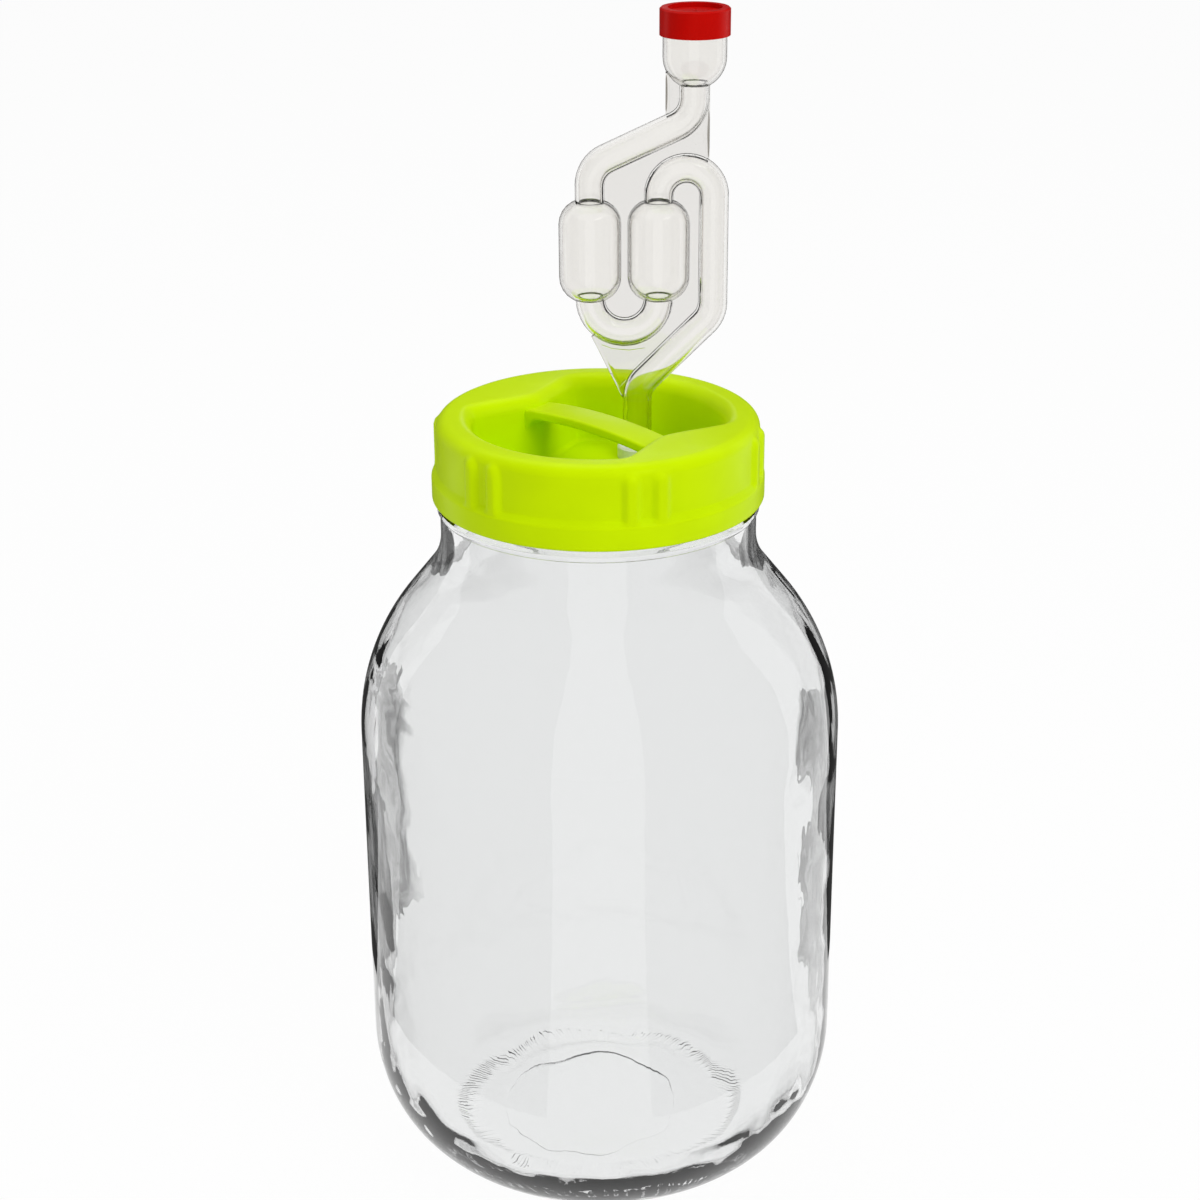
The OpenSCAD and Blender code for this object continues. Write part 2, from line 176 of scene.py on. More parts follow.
def lathe(name, section, steps, closed=True):
    """A turned piece: its section's points are (radius, height), spun round an upright axis."""
    start_clean()
    bpy.ops.mesh.primitive_circle_add(vertices=len(section), radius=1)
    obj = named(bpy.context.object, name)
    for vert, (r, z) in zip(obj.data.vertices, section):
        vert.co = (r, 0, z)
    bpy.ops.object.mode_set(mode="EDIT")
    if not closed:
        bm = bmesh.from_edit_mesh(obj.data)
        bm.verts.ensure_lookup_table()
        bpy.ops.mesh.select_all(action="DESELECT")
        ends = {bm.verts[0], bm.verts[len(section) - 1]}
        for edge in bm.edges:
            if set(edge.verts) == ends:
                edge.select_set(True)
        bmesh.update_edit_mesh(obj.data)
        bpy.ops.mesh.select_mode(type="EDGE")
        bpy.ops.mesh.delete(type="EDGE")
    bpy.ops.mesh.select_mode(type="VERT")
    bpy.ops.mesh.select_all(action="SELECT")
    bpy.ops.mesh.spin(steps=steps, angle=TURN, use_auto_merge=True,
                      center=(0, 0, 0), axis=(0, 0, 1))
    bpy.ops.mesh.select_all(action="SELECT")
    bpy.ops.mesh.remove_doubles(threshold=SEAM_GAP)
    bpy.ops.mesh.normals_make_consistent(inside=False)
    bpy.ops.object.mode_set(mode="OBJECT")
    settle()
    return obj


def outward(obj):
    """Turns all faces of a closed piece outwards."""
    take(obj)
    bpy.ops.object.mode_set(mode="EDIT")
    bpy.ops.mesh.select_all(action="SELECT")
    bpy.ops.mesh.normals_make_consistent(inside=False)
    bpy.ops.object.mode_set(mode="OBJECT")


def select_edges(obj, wanted):
    """In edit mode, selects the edges whose two ends pass the test."""
    bm = bmesh.from_edit_mesh(obj.data)
    bpy.ops.mesh.select_mode(type="EDGE")
    bpy.ops.mesh.select_all(action="DESELECT")
    for edge in bm.edges:
        if wanted(edge.verts[0].co, edge.verts[1].co):
            edge.select_set(True)
    bmesh.update_edit_mesh(obj.data)


def merged_copy(node, name, angle):
    """A copy of a CAD node as one closed surface with smooth shading."""
    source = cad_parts[node]
    obj = bpy.data.objects.new(name, source.data.copy())
    obj.data.name = name
    obj.data.materials.clear()
    bpy.context.scene.collection.objects.link(obj)
    obj.matrix_world = source.matrix_world.copy()
    take(obj)
    settle()
    bpy.ops.object.mode_set(mode="EDIT")
    bpy.ops.mesh.select_all(action="SELECT")
    bpy.ops.mesh.remove_doubles(threshold=CAD_GAP)
    bpy.ops.object.mode_set(mode="OBJECT")
    if obj.data.has_custom_normals:
        bpy.ops.mesh.customdata_custom_splitnormals_clear()
    smooth(obj, angle)
    return obj


def smooth(obj, angle):
    """Smooth shading, with edges over the angle in degrees left sharp."""
    take(obj)
    bpy.ops.object.shade_smooth_by_angle(angle=math.radians(angle))


def dress(obj, finish, body, node):
    """Gives the piece its material and its body, and puts it in the place of a CAD node."""
    obj.data.materials.clear()
    obj.data.materials.append(finish)
    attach(obj, body)
    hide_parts(node)


def arc(cx, cz, r, a0, a1, n):
    """Points of an arc about (cx, cz), with its angles in degrees."""
    turn = [math.radians(a0 + (a1 - a0) * i / n) for i in range(n + 1)]
    return [(cx + r * math.cos(a), cz + r * math.sin(a)) for a in turn]


def line(a, b, n):
    """Points from a to b, without a itself."""
    return [(a[0] + (b[0] - a[0]) * i / n, a[1] + (b[1] - a[1]) * i / n)
            for i in range(1, n + 1)]


def step(x, low, high):
    """Rises softly from 0 at low to 1 at high."""
    t = min(max((x - low) / (high - low), 0), 1)
    return t * t * (3 - 2 * t)


def between(x, start, end):
    """Rises softly over the start range and falls over the end range."""
    return step(x, *start) * (1 - step(x, *end))


# Tools for materials

IOR = 1.5  # of glass, plastic and rubber alike
LIGHT_THROUGH = 0.85  # share of the lamps' light that passes a clear piece
SOFT_EDGE = 0.6  # how much of the painted edge shade a thin edge takes
DEEP_FROM, DEEP_TO = 0.80, 0.86  # how far edge-on, or in at a painted dark patch, the painted shade turns dark
PATCH_RIM = 0.10  # width of the soft rim of a thick place
PLASTIC_SHINE = 0.14
WHITE = (1, 1, 1)
PLASTIC_SPREAD = (-0.03, 0.04)  # how far the roughness strays


class Nodes:
    """A short way to place and join shader nodes."""

    def __init__(self, tree):
        self.tree = tree
        tree.nodes.clear()

    def add(self, kind, values=(), **props):
        """A node of this kind, with values or other nodes' outputs on its inputs."""
        made = self.tree.nodes.new("ShaderNode" + kind)
        for key, value in props.items():
            setattr(made, key, value)
        for key, value in dict(values).items():
            socket = made.inputs[key]
            if isinstance(value, bpy.types.NodeSocket):
                self.tree.links.new(value, socket)
            else:
                socket.default_value = value
        return made

    def math(self, operation, a, b=0.0):
        """The result of one operation."""
        return self.add("Math", {0: a, 1: b}, operation=operation).outputs[0]

    def mix(self, factor, a, b):
        """A colour between a and b. The colours' sockets are 6, 7 and, going out, 2."""
        return self.add("Mix", {0: factor, 6: a, 7: b}, data_type="RGBA").outputs[2]

    def ranged(self, value, low, high, to_low=0.0, to_high=1.0):
        """The value moved softly from one range to another."""
        return self.add("MapRange", {"Value": value, "From Min": low, "From Max": high,
                                     "To Min": to_low, "To Max": to_high},
                        interpolation_type="SMOOTHSTEP").outputs["Result"]

    def place(self, scale=(1, 1, 1)):
        """The place on the piece, stretched or squeezed."""
        coords = self.add("TexCoord").outputs["Object"]
        return self.add("Mapping", {"Vector": coords, "Scale": scale}).outputs["Vector"]

    def noise(self, scale, size, detail):
        """Soft noise over the piece."""
        return self.add("TexNoise", {"Vector": self.place(scale), "Scale": size,
                                     "Detail": detail}).outputs["Fac"]


def group(name, inputs, outputs):
    """A shader node group with its sockets, and the node writer for it."""
    tree = bpy.data.node_groups.new(name, "ShaderNodeTree")
    for label, kind, default in inputs:
        socket = tree.interface.new_socket(label, in_out="INPUT", socket_type="NodeSocket" + kind)
        if default is not None:
            socket.default_value = default
    for label, kind in outputs:
        tree.interface.new_socket(label, in_out="OUTPUT", socket_type="NodeSocket" + kind)
    nodes = Nodes(tree)
    return tree, nodes, tree.nodes.new("NodeGroupInput"), tree.nodes.new("NodeGroupOutput")


def flow_group():
    """Soft unevenness of a cast or moulded surface: a height and a mask."""
    tree, n, source, target = group(
        "Flow",
        [("Vector", "Vector", None), ("Size", "Float", 20.0), ("Fine share", "Float", 0.2)],
        [("Height", "Float"), ("Mask", "Float")])
    broad = n.add("TexNoise", {"Vector": source.outputs["Vector"], "Scale": source.outputs["Size"],
                               "Detail": 2.0, "Roughness": 0.4}).outputs["Fac"]
    fine = n.add("TexNoise", {"Vector": source.outputs["Vector"],
                              "Scale": n.math("MULTIPLY", source.outputs["Size"], 14.0),
                              "Detail": 1.0}).outputs["Fac"]
    height = n.math("ADD", broad, n.math("MULTIPLY", fine, source.outputs["Fine share"]))
    tree.links.new(height, target.inputs["Height"])
    tree.links.new(n.ranged(broad, 0.35, 0.65), target.inputs["Mask"])
    return tree


def material(name):
    """A new material and its node writer."""
    made = bpy.data.materials.new(name)
    made.use_nodes = True
    return made, Nodes(made.node_tree)


def flow(n, size, fine, scale=(1, 1, 1)):
    """The flow group in a material: its height and its mask."""
    made = n.add("Group")
    made.node_tree = bpy.data.node_groups.get("Flow") or flow_group()
    made.inputs["Size"].default_value = size
    made.inputs["Fine share"].default_value = fine
    n.tree.links.new(n.place(scale), made.inputs["Vector"])
    return made.outputs["Height"], made.outputs["Mask"]


def bump(n, height, strength, distance):
    """Bump from a height, its distance in metres."""
    return n.add("Bump", {"Height": height, "Strength": strength,
                          "Distance": distance}).outputs["Normal"]


def finish_surface(n, shader, see_through=0.0):
    """Joins the shader to the output. Clear pieces let a share of the lamps' light through."""
    surface = shader.outputs[0]
    if see_through:
        path = n.add("LightPath").outputs
        lit = n.math("MAXIMUM", path["Is Shadow Ray"], path["Is Diffuse Ray"])
        share = n.math("MULTIPLY", lit, see_through)
        clear = n.add("BsdfTransparent").outputs[0]
        surface = n.add("MixShader", {0: share, 1: surface, 2: clear}).outputs[0]
    n.add("OutputMaterial", {"Surface": surface})


def colour4(colour):
    """The colour with its fourth number."""
    return (*colour, 1.0)


def painted_patch_mask(n, places, ragged_by):
    """Mask of the painted dark patches, each an oval with its middle and half sizes, and its
    noise.
    """
    coords = n.add("TexCoord").outputs["Object"]
    most = None
    for middle, half in places:
        off = n.add("VectorMath", {0: coords, 1: middle}, operation="SUBTRACT").outputs[0]
        off = n.add("VectorMath", {0: off, 1: half}, operation="DIVIDE").outputs[0]
        length = n.add("VectorMath", {0: off}, operation="LENGTH").outputs["Value"]
        near = n.math("SUBTRACT", 1.0, length)
        most = near if most is None else n.math("MAXIMUM", most, near)
    ragged = n.noise((1, 1, 0.4), 75.0, 4.0)
    stray = n.math("MULTIPLY", n.math("SUBTRACT", ragged, 0.5), ragged_by)
    return n.ranged(n.math("ADD", most, stray), 0.0, PATCH_RIM), ragged


def clear_material(name, tint, edge, roughness, edge_from, wave, wave_size, places, ragged_by,
                   reach_by, web=None):
    """Glass or clear plastic with painted shade: darker where it is seen edge-on and at painted
    dark patches.

    edge_from is how far edge-on the soft painted shade starts, wave the height of the bump and
    wave_size its noise size. ragged_by frays the painted dark patches, and reach_by says how far
    they come in from the edge. web is the thin web's place across the piece and its tint.
    """
    made, n = material(name)
    height = flow(n, wave_size, 0.08, (1, 1, 0.45))[0]
    # Painted shade: the edge tint darkens the colour where the surface is seen edge-on, in place
    # of the dark refraction at the rims, frayed by noise.
    facing = n.add("LayerWeight", {"Blend": 0.5}).outputs["Facing"]
    painted_patch, ragged = painted_patch_mask(n, places, ragged_by)
    broken = n.ranged(ragged, 0.40, 0.56, 0.25, 1.0)
    soft = n.math("MULTIPLY", n.ranged(facing, edge_from, 1.0), SOFT_EDGE)
    soft = n.math("MULTIPLY", soft, broken)
    # Painted shade: deeper dark streaks edge-on and at the painted dark patches.
    streaks = n.ranged(n.noise((1, 1, 0.15), 260.0, 2.0), 0.3, 0.62, 0.78, 0.99)
    reach = n.math("ADD", facing, n.math("MULTIPLY", painted_patch, reach_by))
    deep = n.math("MULTIPLY", n.ranged(reach, DEEP_FROM, DEEP_TO), streaks)
    plain = colour4(tint)
    if web:
        across = n.add("SeparateXYZ", {0: n.add("TexCoord").outputs["Object"]}).outputs["Y"]
        off = n.math("ABSOLUTE", n.math("SUBTRACT", across, web[0]))
        thin = n.ranged(off, WEB_HALF, 1.1 * MM, 1.0, 0.0)
        plain = n.mix(thin, colour4(tint), colour4(web[1]))
    tinted = n.mix(n.math("MAXIMUM", soft, deep), plain, colour4(edge))
    shader = n.add("BsdfPrincipled", {
        "Base Color": tinted, "Roughness": roughness, "IOR": IOR, "Transmission Weight": 1.0,
        "Normal": bump(n, height, 1.0, wave)})
    finish_surface(n, shader, LIGHT_THROUGH)
    return made


def plastic_material(name, colour, gloss, shade, roughness, grain):
    """Moulded plastic or rubber, with soft patches of another shade and a fine grain."""
    made, n = material(name)
    height, mask = flow(n, 60.0, 0.35)
    tinted = n.mix(mask, colour4(colour), colour4([c * shade for c in colour]))
    fine = n.noise((1, 1, 1), 2600.0, 2.0)
    rough = n.ranged(mask, 0.0, 1.0, *(roughness + by for by in PLASTIC_SPREAD))
    raised = n.math("ADD", height, n.math("MULTIPLY", fine, 0.3))
    shader = n.add("BsdfPrincipled", {
        "Base Color": tinted, "Roughness": rough, "IOR": IOR, "Specular Tint": colour4(gloss),
        "Specular IOR Level": PLASTIC_SHINE, "Normal": bump(n, raised, 0.5, grain)})
    finish_surface(n, shader)
    return made


# The jar

BODY_R = 81.2 * MM
SHOULDER_R = 73 * MM
SHOULDER_A = 38.5
SHOULDER_Z = 158.604 * MM
NECK_R = 52 * MM
NECK_FILLET = 22 * MM
GLASS_T = 3.6 * MM
FLOOR_T = 6 * MM
FOOT_R = 48 * MM
FOOT_W = 5 * MM
HEEL_H = 44 * MM
PUSH_UP = 4 * MM
BEAD_Z = 237.6 * MM
BEAD_R = 1 * MM
MOUTH_R = 44.5 * MM
FINISH_R = 49 * MM
FINISH_Z = 241.1 * MM
FINISH_FILLET = 2.5 * MM
RIM_R = 1.4 * MM
THREAD_Z = 245 * MM
THREAD_TURNS = 2.2
THREAD_HALF = 1.1 * MM
SEAM_R = 31 * MM
SEAM_W = 0.7 * MM
SEAM_H = 0.14 * MM
SEAM_OFF = Vector((-4.8 * MM, -2.3 * MM, 0))
KNURL_LOW = 47.6 * MM
KNURL_HIGH = 52.6 * MM
KNURLS = 216
KNURL_H = 0.75 * MM
KNURL_TOP = 1.2 * MM
KNURL_POINTS = 4
WALL_WAVES = (3 * MM, 30 * MM), (200 * MM, 236 * MM)
HEEL_WAVES = (FLOOR_T + MM, 14 * MM), (28 * MM, 60 * MM)
HEEL_MORE = 1.3
SEAM_PULL = 11 * MM
SEAL_IN_R = 43.4 * MM
SEAL_EDGE = 0.3 * MM
# Patches of painted shade on the glass: its dark refractions at the sides, front, back and neck,
# where the edge shade reaches further in.
PAINTED_DARK_PATCHES = (  # middle and half sizes of each, in metres
    ((-0.079, 0.004, 0.112), (0.045, 0.050, 0.058)),
    ((0.080, 0, 0.140), (0.030, 0.038, 0.026)),
    ((0.081, 0, 0.085), (0.020, 0.026, 0.045)),
    ((0.004, 0.079, 0.120), (0.045, 0.040, 0.050)),
    ((0.01, -0.079, 0.100), (0.040, 0.040, 0.045)),
    ((-0.050, 0, 0.229), (0.03, 0.03, 0.013)),
    ((0.050, 0, 0.229), (0.03, 0.03, 0.013)),
    ((0, 0.050, 0.229), (0.03, 0.03, 0.013)),
    ((0, -0.052, 0.229), (0.03, 0.02, 0.011)),
)


def shoulder(arc_r, to_r, fillet):
    """Section of the shoulder, from the widest part in to the neck."""
    lean = math.radians(SHOULDER_A)
    mid_r = BODY_R - SHOULDER_R
    r1 = mid_r + arc_r * math.cos(lean)
    z1 = SHOULDER_Z + arc_r * math.sin(lean)
    r2 = to_r + fillet * (1 - math.cos(lean))
    z2 = z1 + (r1 - r2) / math.tan(lean)
    return (arc(mid_r, SHOULDER_Z, arc_r, 0, SHOULDER_A, 24)
            + line((r1, z1), (r2, z2), 6)[:-1]
            + arc(to_r + fillet, z2 + fillet * math.sin(lean), fillet, 180 + SHOULDER_A, 180, 8))


def heel(r0, r1, z0, z1, n=20):
    """Section of the heel, a quarter of an oval from the foot out to the wall."""
    return [(r0 + (r1 - r0) * math.sin(a), z0 + (z1 - z0) * (1 - math.cos(a)))
            for a in (math.pi / 2 * i / n for i in range(n + 1))]


def dome_z(r):
    """Height of the pushed-up base at this radius."""
    return PUSH_UP * (1 - (r / (FOOT_R - FOOT_W)) ** 2)


def dome(z, n=14):
    """Section of the pushed-up base, from its middle out to the foot."""
    reach = FOOT_R - FOOT_W
    return [(reach * i / n, z + dome_z(reach * i / n)) for i in range(n + 1)]


def plate_seam():
    """Section of the pushed-up base, with points either side of the base plate's seam."""
    near = [SEAM_R + by * SEAM_W for by in (-1, -0.5, 0, 0.5, 1)]
    return sorted(dome(0) + [(r, dome_z(r)) for r in near])


def jar_outside():
    """Section of the jar's outside, from the middle of its base up to the rim."""
    top = JAR_HIGH.z
    points = plate_seam() + heel(FOOT_R, BODY_R, 0, HEEL_H)
    points += line((BODY_R, HEEL_H), (BODY_R, SHOULDER_Z), 24)[:-1]
    points += shoulder(SHOULDER_R, NECK_R, NECK_FILLET)
    points += line(points[-1], (NECK_R, BEAD_Z - BEAD_R), 4)[:-1]
    points += arc(NECK_R, BEAD_Z, BEAD_R, -90, 90, 10)
    points += arc(FINISH_R + FINISH_FILLET, FINISH_Z + 1 * MM, FINISH_FILLET, 230, 180, 6)
    points += line(points[-1], (FINISH_R, top - RIM_R), 60)[:-1]
    points += arc(FINISH_R - RIM_R, top - RIM_R, RIM_R, 0, 90, 8)
    return points


def jar_inside():
    """Section of the jar's inside, from the middle of its floor up to the rim."""
    top = JAR_HIGH.z
    inner_r = BODY_R - GLASS_T
    points = dome(FLOOR_T) + heel(FOOT_R - FOOT_W / 2, inner_r, FLOOR_T, HEEL_H)
    points += line((inner_r, HEEL_H), (inner_r, SHOULDER_Z), 24)[:-1]
    points += shoulder(SHOULDER_R - GLASS_T, MOUTH_R, NECK_FILLET + GLASS_T)
    points += line(points[-1], (MOUTH_R, top - RIM_R), 8)[:-1]
    points += arc(MOUTH_R + RIM_R, top - RIM_R, RIM_R, 180, 90, 8)
    return points


def wavy(co, size):
    """Soft waves from about -1 to 1, longer upwards than round."""
    return noise.noise(Vector((co.x / size, co.y / size, co.z / (1.7 * size))))


def thread_lift(co, height, pitch):
    """How far the thread stands out at a point of the finish."""
    turn = math.atan2(co.y, co.x) / TURN % 1
    lift = 0
    for lap in range(4):
        along = lap + turn
        ends = step(along, 0, 0.12) * (1 - step(along, THREAD_TURNS - 0.12, THREAD_TURNS))
        off = abs(co.z - THREAD_Z - pitch * along) / THREAD_HALF
        if off < 1 and along < THREAD_TURNS:
            lift = max(lift, height * ends * (1 - off ** 2) ** 1.5)
    return lift


def shape_jar(obj, sizes, inner):
    """Waves in the blown wall, the thread on the finish, and the base plate's seam."""
    for vert in obj.data.vertices:
        co = vert.co
        r = math.hypot(co.x, co.y)
        if r < 1e-5:
            continue
        outward_way = Vector((co.x / r, co.y / r, 0))
        free = between(co.z, *WALL_WAVES)
        if vert.index in inner:
            share = free + HEEL_MORE * between(co.z, *HEEL_WAVES)
            waves = wavy(co, 30 * MM) + 0.6 * wavy(co, 11 * MM)
            move = sizes.inner_wave * share * waves
        elif r < FOOT_R - FOOT_W - 0.1 * MM and co.z < PUSH_UP + MM:
            near = 1 - min(abs(r - SEAM_R) / SEAM_PULL, 1)
            ridge = SEAM_H * max(1 - abs(r - SEAM_R) / SEAM_W, 0)
            vert.co = co + SEAM_OFF * near + outward_way * near * MM * wavy(co * 3, 20 * MM)
            vert.co.z = dome_z(math.hypot(vert.co.x, vert.co.y)) - ridge
            continue
        else:
            waves = 0.5 + 0.5 * wavy(co + Vector((0.3, 0.1, 0)), 40 * MM)
            move = -sizes.outer_wave * free * waves
            if co.z > FINISH_Z and r > FINISH_R - 0.1 * MM:
                move += thread_lift(co, sizes.thread_height, sizes.thread_pitch)
        vert.co = co + outward_way * move


def knurl_base(obj, steps):
    """Fine grooves across the ring that the jar stands on."""
    take(obj)
    bpy.ops.object.mode_set(mode="EDIT")

    def in_band(co):
        return KNURL_LOW < math.hypot(co.x, co.y) < KNURL_HIGH and co.z < KNURL_TOP

    def round_edge(a, b):
        level = abs(math.hypot(a.x, a.y) - math.hypot(b.x, b.y)) < 0.05 * MM
        return in_band(a) and in_band(b) and level

    select_edges(obj, round_edge)
    bpy.ops.mesh.subdivide(number_cuts=KNURLS * KNURL_POINTS // steps - 1)
    bpy.ops.object.mode_set(mode="OBJECT")
    middle = (KNURL_LOW + KNURL_HIGH) / 2
    for vert in obj.data.vertices:
        co = vert.co
        if in_band(co):
            r = math.hypot(co.x, co.y)
            share = 1 - (abs(r - middle) / (middle - KNURL_LOW)) ** 2
            groove = 0.5 - 0.5 * math.cos(KNURLS * math.atan2(co.y, co.x))
            vert.co.z += KNURL_H * share * groove


def micron_key(r, z):
    """A point of a section in whole microns."""
    return round(r * 1e6), round(z * 1e6)


class FERMENT_OT_jar(Operator):
    """Glass jar with a wavy wall, a threaded finish and a pushed-up base"""
    bl_idname = "ferment.jar"
    bl_label = "Jar"

    def execute(self, context):
        sizes = context.scene.ferment_jar
        inside = jar_inside()
        obj = lathe("jar_glass", jar_outside() + inside[::-1], sizes.steps, closed=False)
        keys = {micron_key(r, z) for r, z in inside}
        inner = {vert.index for vert in obj.data.vertices
                 if micron_key(math.hypot(vert.co.x, vert.co.y), vert.co.z) in keys}
        shape_jar(obj, sizes, inner)
        knurl_base(obj, sizes.steps)
        smooth(obj, 60)
        glass = clear_material(
            "Clear glass", sizes.tint, sizes.edge, roughness=0.0, edge_from=0.62,
            wave=0.35 * MM, wave_size=16.0, places=PAINTED_DARK_PATCHES, ragged_by=0.9, reach_by=0.29)
        dress(obj, glass, "jar", "jar")
        return {"FINISHED"}


class FERMENT_OT_seal(Operator):
    """Flat sealing ring between the jar's rim and the lid"""
    bl_idname = "ferment.seal"
    bl_label = "Sealing ring"

    def execute(self, context):
        out_r, in_r = SEAL_HIGH.x - SEAL_EDGE, SEAL_IN_R + SEAL_EDGE
        low, high = SEAL_LOW.z + SEAL_EDGE, SEAL_HIGH.z - SEAL_EDGE
        section = (arc(out_r, low, SEAL_EDGE, -90, 0, 3) + arc(out_r, high, SEAL_EDGE, 0, 90, 3)
                   + arc(in_r, high, SEAL_EDGE, 90, 180, 3)
                   + arc(in_r, low, SEAL_EDGE, 180, 270, 3))
        obj = lathe("sealing_ring", section, 160)
        smooth(obj, 40)
        rubber = plastic_material("Ring rubber", context.scene.ferment_airlock.rubber, WHITE,
                                  shade=0.95, roughness=0.5, grain=0.02 * MM)
        dress(obj, rubber, "lid_seal", "lid_seal")
        return {"FINISHED"}


# The lid, with its heights counted from its lower edge

LID_H = 27 * MM
LIP_R = 54.5 * MM
LIP_H = 7.6 * MM
LIP_BEVEL = 2 * MM
LIP_ROUND = 0.8 * MM
BEVEL_SOFT = 1.5 * MM
SKIRT_R = 52.7 * MM
SKIRT_IN_R = 50.7 * MM
SKIRT_EDGE = 0.4 * MM
LID_T = 2 * MM
LID_THREAD_TOP = (19 * MM, 21 * MM)
TOP_FILLET = 4 * MM
RIB_PAIRS = 6
RIB_GAP = 10.5
RIB_FIRST = 16.4
RIB_HALF = 2.3 * MM
RIB_SOFT = 1.4 * MM
RIB_R = 54.3 * MM
RIB_TOP = 23.6 * MM
WELL_R = 41 * MM
WELL_FLOOR = 4 * MM
WELL_DRAFT = 0.8 * MM
WELL_FILLET = 4.6 * MM
WELL_FILLET_H = 5 * MM
WELL_FOOT = 1.6 * MM
STRAP_A = -45
STRAP_W = 12 * MM
STRAP_T = 3.2 * MM
STRAP_HALF = 29.2 * MM
STRAP_DROP = 1.8 * MM
STRAP_ARCH = 2 * MM
STRAP_EDGE = 0.9 * MM
GAP_CORNER = 6 * MM
STRAP_CUTS = 179
GATE_AT = -3.6 * MM
GATE_W = 0.3 * MM
GATE_H = 0.14 * MM
ROOT_LEAN = 18.75
ROOT_REACH = 24.27 * MM
ROOT_SOFT = 1.3 * MM
ROOT_TIP = 8
HOLE_R = 5.7 * MM
STEM = ((GROMMET_LOW.x + GROMMET_HIGH.x) / 2, (GROMMET_LOW.y + GROMMET_HIGH.y) / 2)
WEB_HALF = 0.7 * MM
ROW = 1 * MM  # height of one row of the drum that the lid is made from


def soft_least(a, b, soft):
    """The lesser of two lengths, with a soft corner where they meet."""
    low, high = min(a, b), max(a, b)
    return low - soft * math.log(1 + math.exp((low - high) / soft))


def well_outline(steps):
    """The well's outline from above: a circle that the two roots of the handle cut into."""
    points = []
    for i in range(steps):
        angle = TURN * i / steps
        off = (math.degrees(angle) - STRAP_A + 90) % 180 - 90
        off = min(math.hypot(off, ROOT_TIP), 60)
        flank = ROOT_REACH / math.cos(math.radians(off + ROOT_LEAN))
        r = soft_least(WELL_R, flank, ROOT_SOFT)
        points.append(Vector((r * math.cos(angle), r * math.sin(angle))))
    return points


def grown(points, by):
    """The outline grown outwards by a distance."""
    out = []
    for i, p in enumerate(points):
        along = points[(i + 1) % len(points)] - points[i - 1]
        out.append(p + Vector((along.y, -along.x)).normalized() * by)
    return out


def rib_share(angle, z):
    """How much of a rib stands at this direction and height, from 0 to 1."""
    pitch = 360 / RIB_PAIRS
    off = (math.degrees(angle) + 90 - RIB_FIRST + pitch / 2) % pitch - pitch / 2
    side = math.radians(abs(abs(off) - RIB_GAP / 2)) * SKIRT_R
    side = math.hypot(side, max(z - RIB_TOP + RIB_HALF, 0))
    return 1 - step(side, RIB_HALF - RIB_SOFT, RIB_HALF + RIB_SOFT)


def inner_thread(angle, z):
    """How far the lid's thread stands inwards."""
    sizes = bpy.context.scene.ferment_jar
    co = Vector((math.cos(angle), math.sin(angle), z + LID_LOW.z - sizes.thread_pitch / 2))
    lift = thread_lift(co, sizes.thread_height, sizes.thread_pitch)
    return lift * (1 - step(z, *LID_THREAD_TOP))


